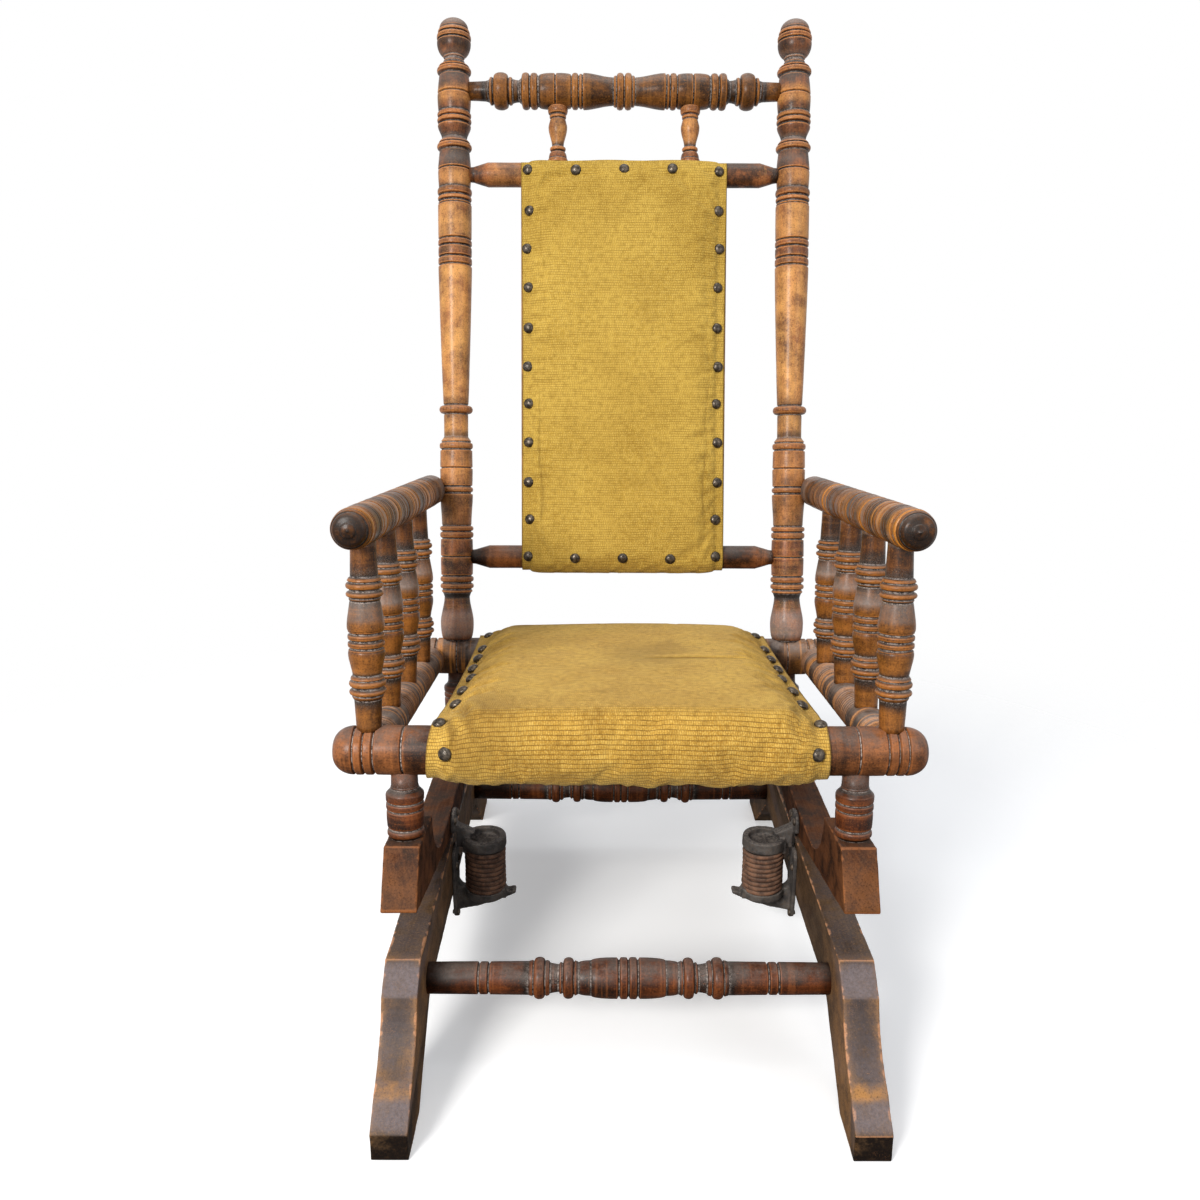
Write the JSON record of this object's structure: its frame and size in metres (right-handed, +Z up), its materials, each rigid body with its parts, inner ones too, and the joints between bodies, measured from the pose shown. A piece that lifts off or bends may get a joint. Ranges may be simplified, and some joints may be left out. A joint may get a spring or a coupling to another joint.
{
  "type": "platform rocker chair",
  "caption": "Turned platform rocker: an armchair on sawn rockers that tips on a low fixed base against coil springs, with a nailed fabric seat and back",
  "frame": {"origin": "Middle of the outer box in X and Y, on the floor", "axes": "+X to the right of the picture (a sitter's left hand), +Y to the rear, +Z up; the front faces -Y"},
  "size_m": [0.546, 0.7269, 1.042],
  "materials": {
    "turned_wood": "satin",
    "sawn_board": "satin",
    "plain_wood": "matte",
    "webbing": "matte",
    "upholstery": "matte",
    "iron": "matte",
    "spring_steel": "matte",
    "screws": "matte",
    "nails": "satin"
  },
  "bodies": {
    "base": {"base_side_left": "sawn_board", "base_side_right": "sawn_board", "front_stretcher": "turned_wood", "rear_stretcher": "turned_wood", "lower_bracket_left": "iron", "lower_bracket_right": "iron", "spring_left": "spring_steel", "spring_right": "spring_steel", "lower_screws": "screws"},
    "chair": {"rocker_left": "sawn_board", "rocker_right": "sawn_board", "front_leg_left": "turned_wood", "front_leg_right": "turned_wood", "rear_leg_left": "turned_wood", "rear_leg_right": "turned_wood", "front_rail": "turned_wood", "rear_rail": "turned_wood", "side_rail_left": "turned_wood", "side_rail_right": "turned_wood", "arm_spindle_left_1": "turned_wood", "arm_spindle_left_2": "turned_wood", "arm_spindle_left_3": "turned_wood", "arm_spindle_left_4": "turned_wood", "arm_spindle_right_1": "turned_wood", "arm_spindle_right_2": "turned_wood", "arm_spindle_right_3": "turned_wood", "arm_spindle_right_4": "turned_wood", "arm_left": "turned_wood", "arm_right": "turned_wood", "post_left": "turned_wood", "post_right": "turned_wood", "crest_rail": "turned_wood", "upper_back_rail": "turned_wood", "lower_back_rail": "turned_wood", "crest_spindle_left": "turned_wood", "crest_spindle_right": "turned_wood", "seat_batten_left": "plain_wood", "seat_batten_right": "plain_wood", "seat_webbing": "webbing", "seat_cover": "upholstery", "back_stile_left": "plain_wood", "back_stile_right": "plain_wood", "back_webbing": "webbing", "back_cover": "upholstery", "upper_bracket_left": "iron", "upper_bracket_right": "iron", "upper_screws": "screws", "seat_nails": "nails", "back_nails": "nails"}
  },
  "joints": [
    {"name": "rock", "type": "hinge", "parent": "base", "child": "chair", "pos_m": [0, 0.00249, 0.1483], "axis": [1, 0, 0], "range_deg": [-6.5, 10], "stiffness_Nm_per_rad": 150, "springref_deg": 1.72, "deforming": ["spring_left", "spring_right"]}
  ]
}
